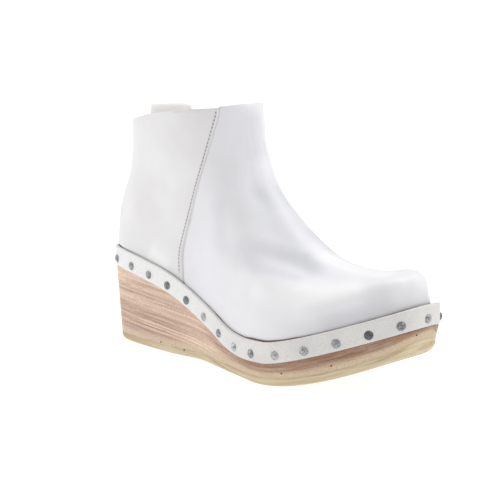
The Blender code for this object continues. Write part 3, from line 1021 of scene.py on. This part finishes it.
def mapped(source, low, high, out_low=0.0, out_high=1.0):
    """Map a value from low..high to out_low..out_high, held at both ends."""
    tree = source.id_data
    made = node(tree, "ShaderNodeMapRange", From_Min=low, From_Max=high, To_Min=out_low,
                To_Max=out_high)
    tree.links.new(source, made.inputs["Value"])
    return made.outputs["Result"]


def maths(operation, a, b):
    tree = tree_of_sockets(a, b)
    made = node(tree, "ShaderNodeMath", operation=operation)
    feed(made.inputs[0], a)
    feed(made.inputs[1], b)
    return made.outputs[0]


def times(a, b):
    return maths("MULTIPLY", a, b)


def band_of(source, centre, half, soft):
    """1 near the centre, 0 away from it, with soft sides."""
    low = mapped(source, centre - half - soft, centre - half)
    high = mapped(source, centre + half, centre + half + soft, 1.0, 0.0)
    return times(low, high)


def axis(tree, name):
    made = tree.nodes.new("ShaderNodeSeparateXYZ")
    tree.links.new(place(tree), made.inputs[0])
    return made.outputs[name]


# %% [markdown]
# The upper's leather is smooth and cool white, a little warmer on the back
# panel. Fine pores come from small cells, and long faint mottling from a wide
# noise. The distance from the seam draws its cut edge, brown where the hide
# was not dyed, and the dent that the thread pulls in, with a little painted
# shade in it. The height above the band draws the dark brown line at the foot
# of the leather, partly dirt and partly painted shade in the groove, darker
# towards the toe, with a soft painted shade above it.

# %% Leather of the upper
leather, tree, shader = new_material("smooth_leather", (0.76, 0.76, 0.79), 0.42)
cloud = noise(tree, 26.0, 3.0, 0.55)
blotch = noise(tree, 9.0, 2.0, 0.5)
fine = noise(tree, 520.0, 4.0, 0.6)
pores = node(tree, "ShaderNodeTexVoronoi", Scale=1500.0)
tree.links.new(place(tree), pores.inputs["Vector"])
from_seam = attribute(tree, "from_seam")
above_band = attribute(tree, "above_band")
up = axis(tree, "Z")

front = ramp(cloud, [(0.3, (0.755, 0.747, 0.775)), (0.5, (0.80, 0.795, 0.83)),
                     (0.7, (0.82, 0.828, 0.87))])
rear = ramp(cloud, [(0.3, (0.735, 0.715, 0.72)), (0.5, (0.78, 0.768, 0.775)),
                    (0.7, (0.82, 0.815, 0.83))])
tone = mix(mapped(from_seam, -0.4, 0.4), rear, front)
tone = mix(mapped(blotch, 0.35, 0.7, 0.0, 0.25), tone, (0.84, 0.83, 0.82))
painted_light_and_shade = attribute(tree, "painted_light_and_shade")
# Painted highlight where the strokes add above zero, painted shade where they add below zero
tone = mix(mapped(painted_light_and_shade, 0.0, 1.0, 0.0, 0.85), tone, (0.90, 0.90, 0.905))
tone = mix(mapped(painted_light_and_shade, 0.0, -1.0, 0.0, 0.85), tone, (0.59, 0.595, 0.63))
pull = band_of(attribute(tree, "from_stitches"), 0.0, 0.25, 0.6)
# A little painted shade in the dent that the thread pulls in
tone = mix(times(pull, 0.14), tone, (0.45, 0.41, 0.38))
edge_tone = mix(mapped(up, 0.085, 0.14), (0.42, 0.37, 0.34), (0.24, 0.19, 0.16))
tone = mix(times(band_of(from_seam, 0.5, 0.05, 0.15), 0.45), tone, edge_tone)
along = axis(tree, "X")
near_heel = mapped(along, -0.02, 0.03, -1.0, 0.0)
wander = mapped(noise(tree, 22.0, 3.0, 0.6), 0.35, 0.65, 1.0, -0.3)
# Painted shade in the groove above the band, mixed with brown dirt, and a soft painted shade above
# it
dirt_and_groove_shade = maths("ADD", above_band, maths("SUBTRACT", wander, near_heel))
dirt_and_groove_shade = maths("ADD", dirt_and_groove_shade, mapped(along, 0.09, 0.15, 0.0, -0.9))
tone = mix(mapped(dirt_and_groove_shade, 0.3, 1.3, 0.25, 0.0), tone, (0.45, 0.38, 0.34))
tone = mix(mapped(dirt_and_groove_shade, 0.0, 0.4, 1.0, 0.0), tone, (0.20, 0.13, 0.10))
paint(shader, tone, [(cloud, 0.0006, 0.25), (times(pull, -1.0), 0.0003, 0.6),
                     (fine, 0.00012, 0.22), (pores.outputs["Distance"], 0.00006, 0.2)],
      mapped(fine, 0.3, 0.7, 0.38, 0.52))
dress(upper, leather)

# %% [markdown]
# The lining is a softer brown leather, and the footbed has the same. The upper
# is one piece, so the faces that the feelers found inside get a second
# material.

# %% Lining leather
lining, tree, shader = new_material("lining_leather", (0.42, 0.30, 0.20), 0.7)
tone = ramp(noise(tree, 90.0, 4.0), [(0.3, (0.42, 0.32, 0.25)), (0.7, (0.56, 0.45, 0.37))])
paint(shader, tone, [(noise(tree, 900.0, 3.0), 0.00015, 0.35)])
dress(insole, lining)
upper.data.materials.append(lining)
inner_faces = np.array([inside[list(p.vertices)].all() for p in upper.data.polygons])
upper.data.polygons.foreach_set("material_index", inner_faces.astype(np.int32))
print("lining faces", int(inner_faces.sum()))

# %% [markdown]
# The pull tab is the same leather, but it has no seam or band near it. It has
# a plainer tone, a little warm from the tanning. Light passes through so thin
# a strip, so it scatters light inside, and a weak emission paints light onto it
# so that it glows a little.

# %% Leather of the tab
# A weak emission paints a glow of light onto the tab
tab_leather, tree, shader = new_material(
    "tab_leather", (0.86, 0.85, 0.84), 0.5, Subsurface_Weight=1.0,
    Subsurface_Radius=(1.0, 0.97, 0.95), Subsurface_Scale=0.006,
    Emission_Color=(1, 0.99, 0.98, 1), Emission_Strength=0.14)
tone = ramp(noise(tree, 60.0), [(0.3, (0.86, 0.84, 0.83)), (0.7, (0.92, 0.91, 0.91))])
paint(shader, tone, [(noise(tree, 600.0, 4.0), 0.00012, 0.3)])
dress(tab, tab_leather)

# %% [markdown]
# Thread is a pale waxed cotton with a twist too fine to model. The needle
# holes are only dark spots of painted shade.

# %% Thread
thread_cotton, tree, shader = new_material("thread_cotton", (0.6, 0.58, 0.55), 0.7)
# The needle holes are discs of painted shade
tone = mix(attribute(tree, "hole"), (0.60, 0.57, 0.54), (0.13, 0.10, 0.085))
paint(shader, tone, [(noise(tree, 2500.0, 2.0), 0.0001, 0.4)])
dress(stitches, thread_cotton)

# %% [markdown]
# The band is a natural, thicker leather, a warmer white with a fine fibrous
# face, and painted light makes it paler towards the heel. Its flesh side,
# which faces the upper, is brown and shows only as the dark line between the
# two.

# %% Leather of the band
strip, tree, shader = new_material("band_leather", (0.74, 0.73, 0.71), 0.62)
fibre = noise(tree, 1100.0, 2.0, 0.6)
cloud = noise(tree, 70.0, 4.0, 0.6)
tone = ramp(cloud, [(0.3, (0.70, 0.68, 0.65)), (0.7, (0.77, 0.755, 0.735))])
speck = ramp(fibre, [(0.36, (0.82,) * 3), (0.55, (1.0,) * 3)])
# Painted light: the band is paler towards the heel
tone = mix(mapped(axis(tree, "X"), 0.11, 0.05), tone, (0.86, 0.86, 0.85))
tone = mix(0.55, tone, speck, "MULTIPLY")
paint(shader, tone, [(fibre, 0.0002, 0.4), (noise(tree, 260.0, 3.0), 0.0003, 0.2)])
dress(band, strip)

flesh, tree, shader = new_material("band_flesh_side", (0.12, 0.075, 0.05), 0.85)
tone = ramp(noise(tree, 500.0, 4.0), [(0.3, (0.07, 0.042, 0.028)), (0.7, (0.16, 0.10, 0.07))])
paint(shader, tone, [(noise(tree, 1200.0, 3.0), 0.0002, 0.5)])
band.data.materials.append(flesh)
for polygon in band.data.polygons:
    x, y = polygon.center.x + HEEL_X, polygon.center.y
    k = int(np.argmin((edge_x - x) ** 2 + (edge_y - y) ** 2))
    after = (k + 1) % OUTLINE_STEPS
    out = Vector((edge_y[after] - edge_y[k], edge_x[k] - edge_x[after], 0)).normalized()
    polygon.material_index = int(polygon.normal.dot(out) < -0.5)

# %% [markdown]
# Wood grain runs from heel to toe and follows the curve of the sole. The wood
# carries its height above one grain line for that, and a noise drawn out along
# the grain reads it.

# %% Grain of the wood
GRAIN_RISE = 0.3
for piece in (wedge, outsole):
    at = points_of(piece)
    top_line, floor_line = (line(at[:, 0] + HEEL_X) for line in (band_height, floor_height))
    grain = GRAIN_RISE * top_line + (1 - GRAIN_RISE) * floor_line
    give(piece, "above_floor", (at[:, 2] - floor_line) / MM)
    give(piece, "below_band", (top_line - BAND_HIGH / 2 - at[:, 2]) / MM)
    give(piece, "above_grain", (at[:, 2] - grain) / MM)


def grain_noise(tree, detail, rough, stretch):
    """Noise drawn out along the grain, which follows the curve of the sole."""
    combined = tree.nodes.new("ShaderNodeCombineXYZ")
    for socket, source in zip(combined.inputs, (axis(tree, "X"), axis(tree, "Y"),
                                                attribute(tree, "above_grain"))):
        tree.links.new(source, socket)
    mapping = node(tree, "ShaderNodeMapping", Scale=stretch)
    tree.links.new(combined.outputs[0], mapping.inputs["Vector"])
    made = node(tree, "ShaderNodeTexNoise", Scale=1.0, Detail=detail, Roughness=rough)
    tree.links.new(mapping.outputs["Vector"], made.inputs["Vector"])
    return made.outputs["Fac"]


# %% [markdown]
# Three such noises give the wood wide pale and dark bands, fine growth lines,
# and short dark pores. There is reddish heartwood low in the heel. Handling has
# darkened the forepart under the band, and the foot was sanded paler.

# %% Wood
wood, tree, shader = new_material("oiled_wood", (0.6, 0.4, 0.3), 0.5)
wide = grain_noise(tree, 2.0, 0.5, (5.0, 20.0, 0.13))
growth = grain_noise(tree, 6.0, 0.76, (3.5, 60.0, 0.6))
dashes = grain_noise(tree, 3.0, 0.6, (60.0, 300.0, 2.2))
grit = noise(tree, 900.0, 3.0, 0.6)
tone = ramp(growth, [(0.32, (0.47, 0.31, 0.23)), (0.43, (0.66, 0.475, 0.365)),
                     (0.53, (0.78, 0.60, 0.475)), (0.66, (0.87, 0.71, 0.58))])
shade = ramp(wide, [(0.32, (0.78, 0.71, 0.70)), (0.5, (0.97, 0.95, 0.94)),
                    (0.68, (1.06, 1.05, 1.02))])
tone = mix(1.0, tone, shade, "MULTIPLY")
tone = mix(mapped(dashes, 0.58, 0.70, 0.0, 0.6), tone, (0.26, 0.14, 0.095))
along = axis(tree, "X")
above_floor = attribute(tree, "above_floor")
below_band = attribute(tree, "below_band")
forepart = mapped(along, 0.06, 0.12)
heart = times(mapped(along, 0.07, 0.03), band_of(above_floor, 18.0, 5.0, 6.0))
heart = times(heart, mapped(growth, 0.38, 0.6, 0.65, 0.15))
tone = mix(heart, tone, (0.34, 0.19, 0.14))
stain = times(forepart, mapped(below_band, 5.0, 11.0, 0.9, 0.0))
stain = times(stain, mapped(growth, 0.40, 0.62, 1.0, 0.65))
tone = mix(stain, tone, (0.19, 0.085, 0.045))
olive = times(forepart, mapped(above_floor, 13.0, 6.0, 0.0, 0.72))
tone = mix(olive, tone, (0.47, 0.34, 0.19))
patch = grain_noise(tree, 5.0, 0.7, (28.0, 60.0, 0.35))
patch = times(forepart, mapped(patch, 0.44, 0.62, 0.0, 0.7))
tone = mix(patch, tone, (0.36, 0.19, 0.09))
sanded = maths("ADD", above_floor, mapped(growth, 0.3, 0.7, -1.6, 1.6))
tone = mix(mapped(sanded, 10.5, 8.5, 0.0, 0.75), tone, (0.68, 0.55, 0.39))
fleck = ramp(grit, [(0.35, (0.86, 0.84, 0.83)), (0.6, (1.05,) * 3)])
tone = mix(1.0, tone, fleck, "MULTIPLY")
paint(shader, tone, [(growth, 0.0003, 0.3), (dashes, 0.0002, 0.25)],
      mapped(growth, 0.3, 0.7, 0.62, 0.45))
dress(wedge, wood)

# %% [markdown]
# The running sole is pinned to the wood with thin brads. On the side of the
# sole only their small dark ends show, here and there, as sunk discs.

# %% Ends of the brads
BRADS = ((21, 6.7), (45, 5.3), (150, 11.2), (179, 18.6), (215, 36.9))
BRAD_RADIUS, BRAD_DEEP = 0.6 * MM, 0.3 * MM
body_tree = tree_of(wedge, outsole)
brad_ends = []
for side in (-1, 1):
    for x, z in BRADS:
        spot, out = meet_from_side(body_tree, side, x * MM, z * MM)
        deselect()
        bpy.ops.mesh.primitive_cylinder_add(vertices=16, radius=BRAD_RADIUS, depth=BRAD_DEEP)
        disc = bpy.context.object
        turn = out.to_track_quat("Z", "Y").to_matrix().to_4x4()
        turn.translation = spot
        disc.data.transform(turn)
        brad_ends.append(disc)
brads = join(brad_ends, "brad_ends")
rust, tree, shader = new_material("brad_rust", (0.09, 0.06, 0.045), 0.8)
tone = ramp(noise(tree, 1500.0), [(0.35, (0.05, 0.032, 0.022)), (0.65, (0.14, 0.09, 0.06))])
paint(shader, tone, [(noise(tree, 2500.0), 0.0001, 0.5)])
dress(brads, rust)
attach(brads, "root")
print("brad ends", len(brad_ends))

# %% [markdown]
# The running sole is a thin pale layer with a dry, faintly layered edge.

# %% Pale running sole
pale, tree, shader = new_material("pale_sole", (0.60, 0.50, 0.34), 0.7)
layers = grain_noise(tree, 5.0, 0.6, (8.0, 40.0, 0.42))
patches = noise(tree, 1.0, 3.0, 0.55, (60.0, 60.0, 90.0))
tone = ramp(layers, [(0.32, (0.44, 0.325, 0.19)), (0.5, (0.62, 0.51, 0.335)),
                     (0.68, (0.74, 0.64, 0.45))])
tone = mix(mapped(axis(tree, "X"), 0.03, -0.02, 0.0, 0.65), tone, (0.48, 0.34, 0.21))
tone = mix(mapped(patches, 0.45, 0.7, 0.0, 0.4), tone, (0.60, 0.44, 0.27))
line = band_of(attribute(tree, "above_floor"), 5.45, 0.25, 0.3)
line = times(line, mapped(patches, 0.45, 0.65, 0.0, 0.35))
tone = mix(line, tone, (0.26, 0.16, 0.09))
paint(shader, tone, [(layers, 0.0003, 0.3), (noise(tree, 900.0, 3.0), 0.0002, 0.3)])
dress(outsole, pale)

# %% [markdown]
# Nails of one batch still differ: some have kept their shine and some have
# gone dark. Each nail's tone sets its colour, and small spots mottle it.

# %% Metal of the nails
metal, tree, shader = new_material("aged_nail", (0.4, 0.41, 0.42), 0.42, Metallic=0.7)
spots = noise(tree, 900.0, 3.0, 0.6)
dark = ramp(attribute(tree, "tone"), [(0.0, (0.10, 0.105, 0.11)), (0.5, (0.32, 0.33, 0.34)),
                                      (1.0, (0.60, 0.62, 0.63))])
mottle = ramp(spots, [(0.38, (0.45,) * 3), (0.6, (1.15,) * 3)])
tone = mix(0.9, dark, mottle, "MULTIPLY")
paint(shader, tone, [(noise(tree, 500.0, 3.0), 0.0003, 0.5)], mapped(spots, 0.35, 0.65, 0.6, 0.32))
dress(nails, metal)

# %% [markdown]
# The picture was taken on a white sweep with light from both sides, and it is
# dimmest on the side that faces the camera. The world is therefore white to
# the left, to the right and overhead, and greyer in front and behind. Three
# broad, weak lights add a little from the left, from the right and over the
# toe. The floor is plain paper, wide enough to have no edge in view. It also
# glows, so that it stays white and its shadow takes no colour from the boot.

# %% Floor and light
FLOOR_SIZE, FLOOR_DROP = 120, 0.0004
deselect()
bpy.ops.mesh.primitive_plane_add(size=FLOOR_SIZE, location=(0, 0, -FLOOR_DROP))
floor = bpy.context.object
floor.name = "floor"
paper, _, _ = new_material("white_paper", (0.3, 0.3, 0.3), 0.95,
                           Emission_Color=(1, 1, 1, 1), Emission_Strength=0.85)
floor.data.materials.append(paper)
floor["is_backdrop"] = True

world = bpy.data.worlds.new("studio")
bpy.context.scene.world = world
world.use_nodes = True
tree = world.node_tree
toward = tree.nodes.new("ShaderNodeTexCoord")
facing = tree.nodes.new("ShaderNodeVectorMath")
facing.operation = "DOT_PRODUCT"
facing.inputs[1].default_value = back
tree.links.new(toward.outputs["Generated"], facing.inputs[0])
share = mapped(facing.outputs["Value"], -1.0, 1.0)
white = ramp(share, [(0.0, (0.42,) * 3), (0.3, (0.72,) * 3), (0.5, (1.5,) * 3),
                     (0.7, (0.78,) * 3), (1.0, (0.36,) * 3)])
tree.links.new(white, tree.nodes["Background"].inputs["Color"])

def soft_light(name, spot, aim, size, power):
    data = bpy.data.lights.new(name, "AREA")
    data.shape, data.size, data.energy = "DISK", size, power
    lamp = bpy.data.objects.new(name, data)
    bpy.context.scene.collection.objects.link(lamp)
    lamp.location = spot
    lamp.rotation_mode = "QUATERNION"
    lamp.rotation_quaternion = (Vector(aim) - Vector(spot)).to_track_quat("-Z", "Y")


soft_light("over the toe", (0.40, 0.6, 1.4), (0.10, 0, 0.08), 0.8, 6.5)
soft_light("left", (-1.2, -0.7, 0.5), (0.05, 0, 0.08), 0.9, 2.2)
soft_light("right", (1.1, 0.3, 0.9), (0.12, 0, 0.08), 0.9, 1.0)
bpy.context.scene.view_settings.view_transform = "Standard"

# %% [markdown]
# The last cell prints the box of the dressed boot.

# %% Print the box and finish
low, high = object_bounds()
print("box", [round(v, 4) for v in (*low, *high)])
